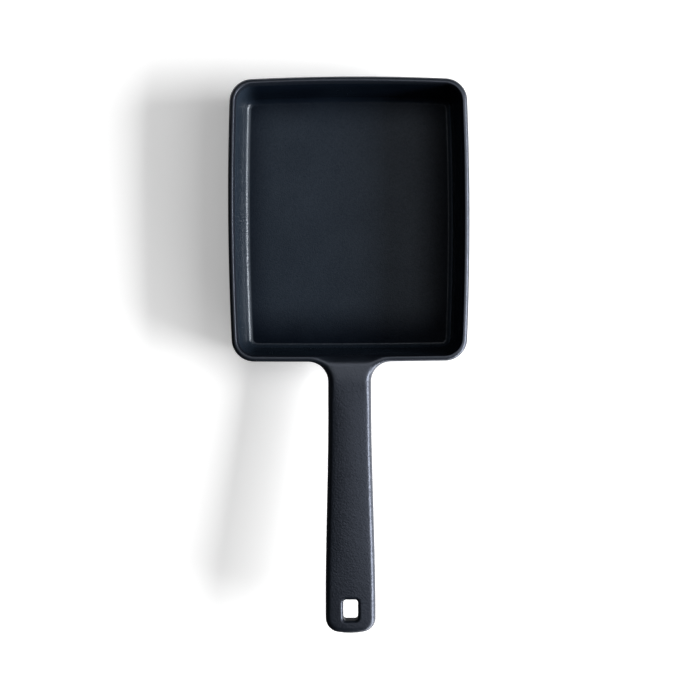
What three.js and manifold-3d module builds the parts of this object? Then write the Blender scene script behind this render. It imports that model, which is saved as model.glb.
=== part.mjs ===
// Rectangular omelette pan: one iron casting, with its handle cast on, and the enamel fired into its tray.
// Millimetres, +Z up. The origin is the middle of the flat base, and the handle runs along -Y.
import * as THREE from "three";
import { mergeVertices } from "three/addons/utils/BufferGeometryUtils.js";
import Module from "manifold-3d";

// Tray, seen from above
const RIM_WIDTH = 150;
const RIM_LENGTH = 177;
const RIM_THICKNESS = 3.2;
const RIM_CORNER = 14;
const WELL_CORNER = 13;
const SIDE_BOW = 2.1; // how far the long sides swell between their ends
const SIDE_CREST = 8; // the long sides are widest this far beyond the middle
const FAR_BOW = 2.1;
const NEAR_BOW = 0.5;

// Tray, in section
const RIM_HEIGHT = 36;
const IRON_FLOOR = 3.6;
const WALL_DRAFT = THREE.MathUtils.degToRad(9.5); // lean of the wall from upright
const BASE_EDGE = 8; // radius between base and wall, outside
const WELL_FILLET = 4; // radius between floor and wall, inside
const RIM_ROUND = 1.8; // outer edge of the rim
const CREST_ROUND = 1; // inner edge of the rim
const ENAMEL = 0.5;
const ENAMEL_SEAT = 0.1; // clearance between the enamel and the iron

// Handle
const HANDLE_LENGTH = 166; // from the rim to the butt
const HANDLE_THICKNESS = 12.5;
const HANDLE_EDGE = 3.6; // radius along the handle's edges
const HANDLE_CROWN = 1; // fall of the top from its flat middle strip to its edges
const HANDLE_SLOPE = THREE.MathUtils.degToRad(5);
const NECK_WIDTH = 26.8;
const NECK_FILLET = 12.3; // between the rim and the handle's sides, seen from above
const NECK_FLAT = 4; // level with the rim for this length
const NECK_BEND = 11; // length in which the handle turns up to its slope
const NECK_BLEND = 16; // length in which rim edge and flat top become handle edge and crown
const ROOT_FILLET = 9; // between the handle's underside and the wall
const TAPER_START = 30; // the sides run parallel up to here, from the rim
const BUTT_WIDTH = 30.6;
const BUTT_STRAIGHT = 18; // the sides run parallel again over this length, before the butt
const BUTT_CORNER = 8.5;
const BUTT_BOW = 2.4;

// Hang hole
const HOLE_WIDTH = 9;
const HOLE_LENGTH = 12.4;
const HOLE_CORNER = 1.9;
const HOLE_ROUND = 2.6; // radius of its mouths
const HOLE_FROM_BUTT = 14; // from the butt to the middle of the hole
const HOLE_BORDER = 1.3; // flat top left beside its mouth, all along the handle

// Hollow in the handle's underside
const HOLLOW_DEPTH = 4.5;
const HOLLOW_BORDER = 2.4; // flat underside left beside it
const HOLLOW_FROM_RIM = 36;
const HOLLOW_FROM_BUTT = 33;
const HOLLOW_CORNER = 4.5;
const HOLLOW_FILLET = 3;

// Fineness of the round stretches, and how far a cut reaches past the surface that it opens
const SIDE_STEPS = 4;
const CORNER_STEPS = 6;
const ARC_STEPS = 6;
const TAPER_STEPS = 6;
const NEAR_STEPS = 2; // along the rim, from a corner to the neck
const NECK_STEPS = 2; // along the handle, from the neck fillet to the taper
const CUT_CLEARANCE = 2;
const EDGE_BREAK = THREE.MathUtils.degToRad(15); // angle at which a hole's mouth meets the surface
const LEAST_CORNER = 1; // plan radius that a fillet leaves at the corners of the base and floor
const LEAST_WALL = 1; // upright stretch that the handle's root leaves above the base edge
const SAME_POINT = 1e-3;

const nearY = -RIM_LENGTH / 2;
const buttY = nearY - HANDLE_LENGTH;
const floorTop = IRON_FLOOR + ENAMEL_SEAT + ENAMEL;
const land = HOLE_WIDTH / 2 + HOLE_ROUND + HOLE_BORDER; // half the flat strip along the handle's top
const landShare = land / (BUTT_WIDTH / 2 - HANDLE_EDGE);
const across = [-1, -landShare, landShare, 1]; // points across the handle, as shares of its half width
const draftTangent = Math.tan((Math.PI / 2 - WALL_DRAFT) / 2); // for a radius of 1 at the wall's foot
const bowRadius = (halfChord, bow) => (halfChord ** 2 + bow ** 2) / (2 * bow);

const wasm = await Module();
wasm.setup();

// Solids, from grids of points whose borders meet

// Rows run up the outside, and their points run counterclockwise seen from above.
function addGrid(skin, rows, closed, keep = () => true) {
  const count = rows[0].length;
  const first = skin.points.length;
  skin.points.push(...rows.flat());
  for (let row = 0; row + 1 < rows.length; row += 1) {
    for (let j = 0; j < (closed ? count : count - 1); j += 1) {
      if (!keep(row, j)) continue;
      const a = first + row * count + j;
      const b = first + row * count + ((j + 1) % count);
      skin.index.push(a, b, b + count, a, b + count, a + count);
    }
  }
}

function addCap(skin, ring, facingUp) {
  const sum = ring.reduce((total, point) => total.add(point), new THREE.Vector3());
  const middle = skin.points.push(sum.divideScalar(ring.length)) - 1;
  const first = skin.points.length;
  skin.points.push(...ring);
  ring.forEach((_, j) => {
    const pair = [first + j, first + ((j + 1) % ring.length)];
    skin.index.push(middle, ...(facingUp ? pair : pair.reverse()));
  });
}

function toSolid(skin) {
  const positions = skin.points.flatMap((point) => [point.x, point.y, point.z]);
  const geometry = new THREE.BufferGeometry();
  geometry.setAttribute("position", new THREE.Float32BufferAttribute(positions, 3));
  geometry.setIndex(skin.index);
  const merged = mergeVertices(geometry, SAME_POINT);
  return new wasm.Manifold(
    new wasm.Mesh({
      numProp: 3,
      vertProperties: merged.attributes.position.array,
      triVerts: new Uint32Array(merged.index.array),
    }),
  );
}

function loft(rings) {
  const skin = { points: [], index: [] };
  addGrid(skin, rings, true);
  addCap(skin, rings[0], false);
  addCap(skin, rings.at(-1), true);
  return toSolid(skin);
}

function toMesh(name, solid, look) {
  const { vertProperties, triVerts } = solid.getMesh();
  const geometry = new THREE.BufferGeometry();
  geometry.setAttribute("position", new THREE.BufferAttribute(vertProperties, 3));
  geometry.setIndex(new THREE.BufferAttribute(triVerts, 1));
  geometry.computeVertexNormals();
  const mesh = new THREE.Mesh(geometry, new THREE.MeshStandardMaterial(look));
  mesh.name = name;
  return mesh;
}

function between(from, to, steps) {
  return Array.from({ length: steps + 1 }, (_, k) => from + ((to - from) * k) / steps);
}

const quarterTurn = (first) => between(first, Math.PI / 2, ARC_STEPS);

// Plans: closed outlines kept as points on arcs, so that a parallel outline has only another radius

const onArc = (arc) => (angle) => ({ ...arc, cos: Math.cos(angle), sin: Math.sin(angle) });

function planRing(plan, inset, heightAt) {
  return plan.map((point) => {
    const x = point.x + (point.radius - inset) * point.cos;
    const y = point.y + (point.radius - inset) * point.sin;
    return new THREE.Vector3(x, y, heightAt(x, y));
  });
}

// Centre of the circle that touches two larger arcs from inside, at the corner on the +X side.
function cornerArc(side, end, radius, endSign) {
  const reach = new THREE.Vector2(end.x - side.x, end.y - side.y);
  const distance = reach.length();
  const fromSide = side.radius - radius;
  const fromEnd = end.radius - radius;
  const along = (fromSide ** 2 - fromEnd ** 2 + distance ** 2) / (2 * distance);
  const aside = endSign * Math.sqrt(fromSide ** 2 - along ** 2);
  const unit = reach.divideScalar(distance);
  const x = side.x + along * unit.x - aside * unit.y;
  const y = side.y + along * unit.y + aside * unit.x;
  return { x, y, radius };
}

// The tray's outline drawn in by `inset`: four bowed sides and four round corners. The near side has points
// at the neck of the handle, from neckFirst to neckLast.
function trayPlan(inset, corner) {
  const sideRadius = bowRadius(RIM_LENGTH / 2, SIDE_BOW);
  const farRadius = bowRadius(RIM_WIDTH / 2, FAR_BOW);
  const nearRadius = bowRadius(RIM_WIDTH / 2, NEAR_BOW);
  const side = { x: RIM_WIDTH / 2 - sideRadius, y: SIDE_CREST, radius: sideRadius - inset };
  const far = { x: 0, y: RIM_LENGTH / 2 - farRadius, radius: farRadius - inset };
  const near = { x: 0, y: nearRadius - RIM_LENGTH / 2, radius: nearRadius - inset };
  const farCorner = cornerArc(side, far, corner, 1);
  const nearCorner = cornerArc(side, near, corner, -1);
  const mirrored = (arc) => ({ ...arc, x: -arc.x });
  const toward = (arc, short) => Math.atan2(short.y - arc.y, short.x - arc.x);
  const sideEnds = [toward(side, nearCorner), toward(side, farCorner)];
  const farEnds = [toward(far, farCorner), Math.PI - toward(far, farCorner)];
  const nearEnds = [-Math.PI - toward(near, nearCorner), toward(near, nearCorner)];
  const neckReach = (NECK_WIDTH / 2 + NECK_FILLET) / nearRadius;
  const neck = across.map((share) => Math.asin(share * neckReach) - Math.PI / 2);
  const nearStops = [
    ...between(nearEnds[0], neck[0], NEAR_STEPS),
    ...neck.slice(1, -1),
    ...between(neck.at(-1), nearEnds[1], NEAR_STEPS),
  ];
  const turn = 2 * Math.PI;
  const runs = [
    [side, between(sideEnds[0], sideEnds[1], SIDE_STEPS)],
    [farCorner, between(sideEnds[1], farEnds[0], CORNER_STEPS)],
    [far, between(farEnds[0], farEnds[1], SIDE_STEPS)],
    [mirrored(farCorner), between(farEnds[1], Math.PI - sideEnds[1], CORNER_STEPS)],
    [mirrored(side), between(Math.PI - sideEnds[1], Math.PI - sideEnds[0], SIDE_STEPS)],
    [mirrored(nearCorner), between(Math.PI - sideEnds[0], turn + nearEnds[0], CORNER_STEPS)],
    [near, nearStops],
    [nearCorner, between(nearEnds[1], sideEnds[0], CORNER_STEPS)],
  ];
  return runs.flatMap(([arc, angles]) => angles.slice(0, -1).map(onArc(arc)));
}

const neckFirst = 3 * (SIDE_STEPS + CORNER_STEPS) + NEAR_STEPS;
const neckLast = neckFirst + across.length - 1;

// A convex polygon with round corners, counterclockwise.
function polygonPlan(corners, radius) {
  return corners.flatMap((corner, i) => {
    const toBack = corners.at(i - 1).clone().sub(corner).normalize();
    const toNext = corners[(i + 1) % corners.length].clone().sub(corner).normalize();
    const halfAngle = Math.acos(toBack.dot(toNext)) / 2;
    const bisector = toBack.clone().add(toNext).normalize();
    const { x, y } = corner.clone().addScaledVector(bisector, radius / Math.sin(halfAngle));
    const middle = bisector.negate().angle();
    const spread = Math.PI / 2 - halfAngle;
    return between(middle - spread, middle + spread, CORNER_STEPS).map(onArc({ x, y, radius }));
  });
}

// Sections: points of [inset, height], inset being measured inwards from a plan

function arcSection(inset, height, radius, from, to) {
  const angles = between(from, to, ARC_STEPS);
  return angles.map((angle) => [inset + radius * Math.cos(angle), height + radius * Math.sin(angle)]);
}

function sectionRings(plan, section) {
  return section.map(([inset, height]) => planRing(plan, inset, () => height));
}

// Tray

// Inset of the outer wall at a height: the wall leaves the rim's outer round as its tangent.
function outerWall(z) {
  const drop = RIM_ROUND + Math.sin(WALL_DRAFT) * (z - RIM_HEIGHT + RIM_ROUND);
  return RIM_ROUND - drop / Math.cos(WALL_DRAFT);
}

// Inset of the well's wall from the rim's inner edge at a height, under a coat of the given depth.
function wellWall(z, coat) {
  return (RIM_HEIGHT - z) * Math.tan(WALL_DRAFT) - coat / Math.cos(WALL_DRAFT);
}

const baseRoom = RIM_CORNER - LEAST_CORNER - outerWall(0);
const wellRoom = WELL_CORNER - LEAST_CORNER - wellWall(floorTop, 0);
const baseEdge = Math.min(BASE_EDGE, baseRoom / draftTangent);
const wellFillet = Math.min(WELL_FILLET, wellRoom / draftTangent);
const wallFoot = baseEdge * draftTangent * Math.cos(WALL_DRAFT) + LEAST_WALL;
const rootFillet = Math.min(ROOT_FILLET, RIM_HEIGHT - HANDLE_THICKNESS - wallFoot);
const rootZ = RIM_HEIGHT - HANDLE_THICKNESS - rootFillet;

const baseSection = arcSection(
  outerWall(0) + baseEdge * draftTangent,
  baseEdge,
  baseEdge,
  -Math.PI / 2,
  WALL_DRAFT - Math.PI,
);

// From the handle's root up to the rim, in as many points as an edge column of the handle
const wallSection = quarterTurn(0)
  .reverse()
  .map((turn) => rootZ + HANDLE_EDGE * (1 - Math.sin(turn)))
  .map((z) => [outerWall(z), z]);
const rimSection = arcSection(
  RIM_ROUND,
  RIM_HEIGHT - RIM_ROUND,
  RIM_ROUND,
  Math.PI + WALL_DRAFT,
  Math.PI / 2,
);

// The rim's inner round between two angles: 90 degrees at the crest, and the draft where the wall begins.
function crestSection(from, to) {
  return arcSection(-CREST_ROUND * draftTangent, RIM_HEIGHT - CREST_ROUND, CREST_ROUND, from, to);
}

// Angle at which a coat of the given depth comes out on the rim's inner round.
const crestSeam = (coat) => WALL_DRAFT + Math.acos(1 - coat / CREST_ROUND);

// Foot of the well's wall and edge of its floor under a coat of the given depth, going down.
function floorSection(coat) {
  const fillet = wellFillet + coat;
  const floor = floorTop - coat;
  const inset = wellWall(floor, coat) + fillet * draftTangent;
  return arcSection(inset, floor + fillet, fillet, Math.PI + WALL_DRAFT, (3 * Math.PI) / 2);
}

const rimPlan = trayPlan(0, RIM_CORNER);
const wellPlan = trayPlan(RIM_THICKNESS, WELL_CORNER);

function enamelLining() {
  const back = floorSection(ENAMEL).reverse();
  const lip = crestSection(crestSeam(ENAMEL), WALL_DRAFT);
  return loft(sectionRings(wellPlan, [...back, ...lip, ...floorSection(0)]));
}

// Handle

const fromRim = (y) => Math.max(nearY - y, 0);
const neckBlend = (y) => THREE.MathUtils.smoothstep(fromRim(y), 0, NECK_BLEND);
const taperStartY = nearY - TAPER_START;
const taperEndY = buttY + BUTT_STRAIGHT;

function halfWidth(y) {
  const grown = THREE.MathUtils.smoothstep(-y, -taperStartY, -taperEndY);
  return THREE.MathUtils.lerp(NECK_WIDTH, BUTT_WIDTH, grown) / 2;
}

// Height of the handle's middle line over the rim: level, then a bend, then the slope.
function handleRise(y) {
  const bent = THREE.MathUtils.clamp(fromRim(y) - NECK_FLAT, 0, NECK_BEND);
  const straight = Math.max(fromRim(y) - NECK_FLAT - NECK_BEND, 0);
  return Math.tan(HANDLE_SLOPE) * (bent ** 2 / (2 * NECK_BEND) + straight);
}

function handleTop(y, x = 0) {
  const beside = Math.max(Math.abs(x) - land, 0) / (halfWidth(y) - land);
  return RIM_HEIGHT + handleRise(y) - HANDLE_CROWN * neckBlend(y) * beside ** 2;
}

function handleUnderside(y) {
  const inFillet = Math.max(rootFillet - fromRim(y), 0);
  const root = rootFillet - Math.sqrt(rootFillet ** 2 - inFillet ** 2);
  return RIM_HEIGHT + handleRise(y) - HANDLE_THICKNESS - root;
}

// Points up one edge of the handle, from underside to top. At the rim they follow the tray's wall.
function edgeColumn({ x, y, inX, inY }) {
  const blend = neckBlend(y);
  const topRadius = THREE.MathUtils.lerp(RIM_ROUND, HANDLE_EDGE, blend);
  const place = (inset, surface, lift) => {
    const edgeX = x + inset * inX;
    const edgeY = y + inset * inY;
    const z = surface(edgeY, edgeX) + lift;
    const lean = Math.max(outerWall(z), 0) * (1 - blend);
    return new THREE.Vector3(edgeX, edgeY + lean, z);
  };
  const turns = quarterTurn(0);
  const lower = turns.map((turn) =>
    place(HANDLE_EDGE * (1 - Math.cos(turn)) * blend, handleUnderside, HANDLE_EDGE * (1 - Math.sin(turn))),
  );
  const upper = turns.map((turn) =>
    place(topRadius * (1 - Math.cos(turn)), handleTop, -topRadius * (1 - Math.sin(turn))),
  );
  return [...lower.reverse(), ...upper];
}

const endRadius = bowRadius(BUTT_WIDTH / 2, BUTT_BOW);
const endCentreY = buttY + endRadius;

function endPoint(x) {
  const y = endCentreY - Math.sqrt(endRadius ** 2 - x ** 2);
  return { x, y, inX: -x / endRadius, inY: (endCentreY - y) / endRadius };
}

// Right edge of the handle seen from above, from the neck fillet to the end of the butt's corner.
function rightEdge() {
  const neck = NECK_WIDTH / 2;
  const cornerX = BUTT_WIDTH / 2 - BUTT_CORNER;
  const cornerY = endCentreY - Math.sqrt((endRadius - BUTT_CORNER) ** 2 - cornerX ** 2);
  const cornerTurn = Math.atan2(cornerY - endCentreY, cornerX);
  const flare = quarterTurn(0).slice(1).map((turn) => ({
    x: neck + NECK_FILLET * (1 - Math.sin(turn)),
    y: nearY - NECK_FILLET * (1 - Math.cos(turn)),
    inX: -Math.sin(turn),
    inY: Math.cos(turn),
  }));
  const straight = between(nearY - NECK_FILLET, taperStartY, NECK_STEPS).slice(1);
  const taper = between(taperStartY, taperEndY, TAPER_STEPS).slice(1);
  const sides = [...straight, ...taper].map((y) => ({ x: halfWidth(y), y, inX: -1, inY: 0 }));
  const corner = between(0, cornerTurn, ARC_STEPS).map((angle) => ({
    x: cornerX + BUTT_CORNER * Math.cos(angle),
    y: cornerY + BUTT_CORNER * Math.sin(angle),
    inX: -Math.cos(angle),
    inY: -Math.sin(angle),
  }));
  return [...flare, ...sides, ...corner];
}

const mirroredPoint = (point) => new THREE.Vector3(-point.x, point.y, point.z);

// One ring round the handle, from its left edge over the underside to the right edge and back over the top.
function handleRing(left, lowMiddle, right, topMiddle) {
  return [...left.toReversed(), ...lowMiddle, ...right, ...topMiddle.toReversed()];
}

function stationRing(point) {
  const right = edgeColumn(point);
  const middle = (corner, surface) =>
    across.slice(1, -1).map((share) => {
      const x = share * corner.x;
      return new THREE.Vector3(x, corner.y, surface(corner.y, x));
    });
  const lowMiddle = middle(right[0], () => right[0].z);
  const topMiddle = middle(right.at(-1), handleTop);
  return handleRing(right.map(mirroredPoint), lowMiddle, right, topMiddle);
}

// The casting as one skin: base, wall, rim and well of the tray, with the handle grown out of the wall.
function castingBlock() {
  const skin = { points: [], index: [] };
  const coat = ENAMEL + ENAMEL_SEAT;
  const lowRows = sectionRings(rimPlan, baseSection);
  const neckRows = sectionRings(rimPlan, [...wallSection, ...rimSection]);
  const crest = crestSection(Math.PI / 2, crestSeam(coat));
  const wellRows = sectionRings(wellPlan, [...crest, ...floorSection(coat)]);
  const trayRows = [...lowRows, ...neckRows, ...wellRows];
  const neckTop = lowRows.length + neckRows.length - 1;
  const outsideNeck = (row, j) => row < lowRows.length || row >= neckTop || j < neckFirst || j >= neckLast;
  addGrid(skin, trayRows, true, outsideNeck);
  addCap(skin, trayRows[0], false);
  addCap(skin, trayRows.at(-1), true);

  const neckPart = (row) => row.slice(neckFirst + 1, neckLast);
  const neckRing = handleRing(
    neckRows.map((row) => row[neckFirst]),
    neckPart(neckRows[0]),
    neckRows.map((row) => row[neckLast]),
    neckPart(neckRows.at(-1)),
  );
  const edge = rightEdge();
  const endX = edge.at(-1).x;
  const endColumns = across.map((share) => edgeColumn(endPoint(share * endX)));
  const endRing = handleRing(
    endColumns[0],
    endColumns.slice(1, -1).map((column) => column[0]),
    endColumns.at(-1),
    endColumns.slice(1, -1).map((column) => column.at(-1)),
  );
  addGrid(skin, [neckRing, ...edge.slice(0, -1).map(stationRing), endRing], true);
  addGrid(skin, endColumns[0].map((_, row) => endColumns.map((column) => column[row])), false);
  return toSolid(skin);
}

function hangHole() {
  const middleY = buttY + HOLE_FROM_BUTT;
  const corners = [[-1, -1], [1, -1], [1, 1], [-1, 1]];
  const plan = polygonPlan(
    corners.map(([x, y]) => new THREE.Vector2((x * HOLE_WIDTH) / 2, middleY + (y * HOLE_LENGTH) / 2)),
    HOLE_CORNER,
  );
  const round = quarterTurn(EDGE_BREAK).map((turn) => [
    -HOLE_ROUND * (1 - Math.sin(turn)),
    HOLE_ROUND * (1 - Math.cos(turn)),
  ]);
  const edge = round[0][0] - HOLE_ROUND * Math.cos(EDGE_BREAK);
  const mouth = [[edge, -CUT_CLEARANCE], [edge, round[0][1] - HOLE_ROUND * Math.sin(EDGE_BREAK)], ...round];
  const lower = mouth.map(([inset, depth]) => planRing(plan, inset, (x, y) => handleUnderside(y) + depth));
  const upper = mouth.map(([inset, depth]) => planRing(plan, inset, (x, y) => handleTop(y) - depth));
  return loft([...lower, ...upper.reverse()]);
}

function undersideHollow() {
  const startY = nearY - HOLLOW_FROM_RIM;
  const endY = buttY + HOLLOW_FROM_BUTT;
  const startX = halfWidth(startY) - HANDLE_EDGE - HOLLOW_BORDER;
  const endX = halfWidth(endY) - HANDLE_EDGE - HOLLOW_BORDER;
  const corners = [[-endX, endY], [endX, endY], [startX, startY], [-startX, startY]];
  const plan = polygonPlan(corners.map(([x, y]) => new THREE.Vector2(x, y)), HOLLOW_CORNER);
  const roof = arcSection(HOLLOW_FILLET, HOLLOW_DEPTH - HOLLOW_FILLET, HOLLOW_FILLET, Math.PI, Math.PI / 2);
  const rings = [[0, -CUT_CLEARANCE], ...roof].map(([inset, depth]) =>
    planRing(plan, inset, (x, y) => handleUnderside(y) + depth),
  );
  return loft(rings);
}

// Object

const casting = castingBlock().subtract(hangHole()).subtract(undersideHollow());

const pan = new THREE.Group();
pan.name = "omelette_pan";
pan.add(toMesh("pan_casting", casting, { color: 0x2a2d33, roughness: 0.5, metalness: 0.1 }));
pan.add(toMesh("interior_enamel", enamelLining(), { color: 0x20242b, roughness: 0.4, metalness: 0 }));

export default pan;
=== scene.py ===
"""Rectangular omelette pan: an iron casting with its handle, its enamel lining, and a plain studio."""

import math
from typing import NamedTuple

import bmesh
import bpy
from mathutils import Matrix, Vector


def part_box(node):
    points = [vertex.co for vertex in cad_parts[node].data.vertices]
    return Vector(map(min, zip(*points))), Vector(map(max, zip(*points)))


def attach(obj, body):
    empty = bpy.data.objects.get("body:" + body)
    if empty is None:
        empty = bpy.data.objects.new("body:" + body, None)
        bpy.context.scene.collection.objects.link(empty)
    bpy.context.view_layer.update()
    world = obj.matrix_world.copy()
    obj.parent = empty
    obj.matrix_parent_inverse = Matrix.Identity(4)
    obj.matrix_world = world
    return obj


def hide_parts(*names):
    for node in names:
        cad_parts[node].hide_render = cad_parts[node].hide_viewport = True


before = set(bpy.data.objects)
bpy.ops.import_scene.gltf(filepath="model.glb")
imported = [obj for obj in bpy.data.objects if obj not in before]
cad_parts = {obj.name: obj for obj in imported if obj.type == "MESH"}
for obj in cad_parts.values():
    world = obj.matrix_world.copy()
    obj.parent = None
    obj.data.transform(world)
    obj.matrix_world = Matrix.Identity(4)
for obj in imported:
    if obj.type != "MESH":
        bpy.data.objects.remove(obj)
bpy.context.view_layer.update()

bl_info = {
    "name": "Omelette Pan",
    "version": (1, 0, 0),
    "blender": (4, 5, 0),
    "location": "View3D > Sidebar > Omelette Pan",
    "description": "Builds a cast omelette pan, its enamel lining and a studio around it",
    "category": "Add Mesh",
}

# The fixed frame
CASTING_LOW, CASTING_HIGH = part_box("pan_casting")
BODY = "root"

# Fineness of the meshes
SIDE_STEPS = 28
CORNER_STEPS = 14
NEAR_STEPS = 10
ARC_STEPS = 10
WALL_STEPS = 6
FLARE_STEPS = 18
ALONG_STEPS = 10
SECTION_STEPS = 12
HALF_ARC = 4
ACROSS_STRAIGHT = 4
ALONG_HOLE = 6
ALONG_HOLLOW = 16
BUTT_SIDE = 8
BUTT_CORNER = ALONG_HOLE + 2 * HALF_ARC - BUTT_SIDE  # the butt gets as many points as the hang hole
HOLLOW_STEPS = ALONG_HOLLOW + 2 * HALF_ARC
ACROSS_STEPS = ACROSS_STRAIGHT + 2 * HALF_ARC
WELD = 2e-6
CREASE = math.radians(40)
PATCH_STEPS = (0, 0.05, 0.14, 0.28, 0.46, 0.7, 1)
FLAT_SUPPORT = 0.0008  # a flat face starts this far inside the round that ends on it
PATCH_MARGIN = 0.0025  # clear surface between a hole's mouth and the ring of points around it
HOLLOW_MARGIN = 0.004
HOLLOW_LIP = 0.0008

# Spans in which one form or finish fades into another
NECK_EDGE_SPAN = (0.7, 2.5)  # the fuller edge ends between these, in neck fillets from the rim
NECK_CREST_SPAN = (0.8, 0.75)  # the first in half necks, the second in neck fillets beside the neck
# Painted sheen: where the rim's flat top and the neck face up, they are drawn paler
GROUND_AND_SHEEN_DEPTH = (0.0002, 0.0012)  # away from the rim's height
SHEEN_FACING = (0.92, 0.99)  # upward part of the surface's normal
GROUND_AND_SHEEN_FADE = 0.004  # along the handle, the ground surface starts to fade here
# Painted shade: a dark, dull coat laid on the enamel along the well's walls and up its far wall, where their
# shade falls
FLOOR_LEVEL = (0.000005, 0.00005)  # above the enamel's floor
SHADE_CLIMB_FADE = 0.008
SHADE_LEFT_END = (-0.066, -0.056)  # the film leaves the left wall's far end clear
PAPER_RIGHT = (0.0, 0.03)  # to the right of the tray's middle
PAPER_BEYOND = (0.095, 0.11)  # beyond the tray's middle
PAPER_FAR = (0.5, 0.9)  # all round the tray's middle

# Make-up of the finishes
SAND_GRAIN = "Sand Grain"
COAT_DRIFT = "Coat Drift"
PEBBLE_HEIGHT = 0.45
GRIT_HEIGHT = 0.8
GRIT_FINENESS = 1.15
CLOUD_PATCH = 0.03
SPECKLE_GRAINS = 1.6  # size of a speckle in grains
SPECKLE_SHARE = 0.55  # the rest of the change in tone is cloudy
SWELL_SIZE = 0.011
ROUGHNESS_SPREAD = 0.03
RUBBED_SHINE = 0.04
RUBBED_RELIEF = 0.5
# How uneven the painted shade is, and how much gloss it leaves
SHADE_UNEVENNESS = 0.2
SHADE_GLOSS = 0.12  # share of the gloss that the film leaves
LIP_ROUND = 0.45  # radius of the enamel's lip in coats
FLOOR_REACH = 1.2  # the swept part of the floor in fillets

SENSOR = 36.0  # width of the camera's sensor in millimetres
LAMPS = ("key", "screen", "rim", "window")


def number(name, description, default, **limits):
    return bpy.props.FloatProperty(name=name, description=description, default=default, **limits)


def length(name, description, default):
    return number(name, description, default, precision=5, unit="LENGTH", subtype="DISTANCE")


def angle(name, description, degrees):
    return number(name, description, math.radians(degrees), unit="ROTATION", subtype="ANGLE")


def share(name, description, default):
    return number(name, description, default, min=0.0, max=1.0, subtype="FACTOR")


def level(name, description, default):
    return number(name, description, default, min=0.0)


def numbers(name, description, default, **limits):
    return bpy.props.FloatVectorProperty(
        name=name, description=description, default=default, size=len(default), **limits
    )


def colour(name, description, default):
    return numbers(name, description, default, min=0.0, max=1.0, subtype="COLOR")


def lengths(name, description, default):
    return numbers(name, description, default, precision=5, unit="LENGTH", subtype="XYZ")


def angles(name, description, degrees):
    return numbers(name, description, [math.radians(degree) for degree in degrees], unit="ROTATION")


class TraySizes(bpy.types.PropertyGroup):
    """Sizes of the tray."""

    width: length("Width", "Rim at its widest", CASTING_HIGH.x - CASTING_LOW.x)
    length: length("Length", "Rim from the far side to the neck", 0.177)
    height: length("Height", "Rim above the base", 0.036)
    rim: length("Rim thickness", "Between the rim's outer and inner edge", 0.0032)
    rim_corner: length("Outer corner", "Plan radius of the rim's corners", 0.014)
    well_corner: length("Well corner", "Plan radius of the well's corners", 0.0113)
    side_bow: length("Side bow", "Swell of the long sides", 0.0021)
    side_crest: length("Side crest", "The long sides are widest this far beyond the middle", 0.008)
    far_bow: length("Far bow", "Swell of the far side", 0.0021)
    near_bow: length("Near bow", "Swell of the side that carries the handle", 0.0005)
    draft: angle("Draft", "Lean of the walls from upright", 9.5)
    floor: length("Iron floor", "Thickness of the iron under the enamel", 0.0036)
    base_edge: length("Base edge", "Radius between base and wall", 0.008)
    rim_round: length("Rim round", "Radius of the rim's outer edge", 0.0026)
    crest_round: length("Crest round", "Radius of the rim's inner edge", 0.0006)


class HandleSizes(bpy.types.PropertyGroup):
    """Sizes of the handle."""

    thickness: length("Thickness", "From top to underside", 0.0125)
    edge: length("Edge round", "Radius along the edges", 0.0033)
    neck_edge: length("Neck edge round", "Radius along the top edge at the neck", 0.0044)
    crown: length("Crown", "Fall of the top from its middle to its edges", 0.0015)
    butt_crown: length("Butt crown", "The same at the hang hole", 0.0008)
    crown_fade: length("Crown fade", "The crown begins to flatten this far from the butt's end", 0.06)
    slope: angle("Slope", "Rise towards the butt", 4.98)
    neck_width: length("Neck width", "Width beyond the neck's fillets", 0.0268)
    neck_fillet: length("Neck fillet", "Plan radius between rim and handle", 0.0123)
    neck_flat: length("Neck flat", "Length that is level with the rim", 0.004)
    neck_bend: length("Neck bend", "Length in which the handle turns up to its slope", 0.011)
    neck_blend: length("Neck blend", "Length in which the rim's edge becomes the handle's", 0.005)
    neck_crest: length("Neck crest", "Radius between the handle's top and the well", 0.007)
    crown_start: length("Crown start", "Length in which the flat neck becomes crowned", 0.034)
    root_fillet: length("Root fillet", "Radius between underside and wall", 0.009)
    taper_start: length("Taper start", "The sides run parallel up to here, from the rim", 0.030)
    butt_width: length("Butt width", "Width at the hang hole", 0.0306)
    butt_straight: length("Butt straight", "The sides run parallel over this length, at the butt", 0.018)
    butt_corner: length("Butt corner", "Plan radius of the butt's corners", 0.0085)
    butt_bow: length("Butt bow", "Swell of the butt's end", 0.0024)


class HangHoleSizes(bpy.types.PropertyGroup):
    """Sizes of the hang hole."""

    width: length("Width", "Across the handle", 0.009)
    length: length("Length", "Along the handle", 0.0124)
    corner: length("Corner", "Plan radius of its corners", 0.0019)
    mouth: length("Mouth round", "Radius of its mouths", 0.0021)
    from_butt: length("From butt", "From the butt's end to the middle of the hole", 0.014)


class HollowSizes(bpy.types.PropertyGroup):
    """Sizes of the hollow in the handle's underside."""

    depth: length("Depth", "Depth of the hollow", 0.0045)
    border: length("Border", "Flat underside left beside it", 0.0024)
    from_rim: length("From rim", "From the rim to the hollow", 0.036)
    from_butt: length("From butt", "From the butt's end to the hollow", 0.033)
    corner: length("Corner", "Plan radius of its corners", 0.0045)
    fillet: length("Fillet", "Radius around its roof", 0.003)


class EnamelSizes(bpy.types.PropertyGroup):
    """Sizes of the enamel lining."""

    coat: length("Coat", "Thickness of the enamel", 0.0005)
    seat: length("Seat", "Clearance between enamel and iron", 0.00005)
    fillet: length("Well fillet", "Radius between floor and wall", 0.004)
    lip_drop: length("Lip drop", "The coat ends this far under the rim", 0.0052)


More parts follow.
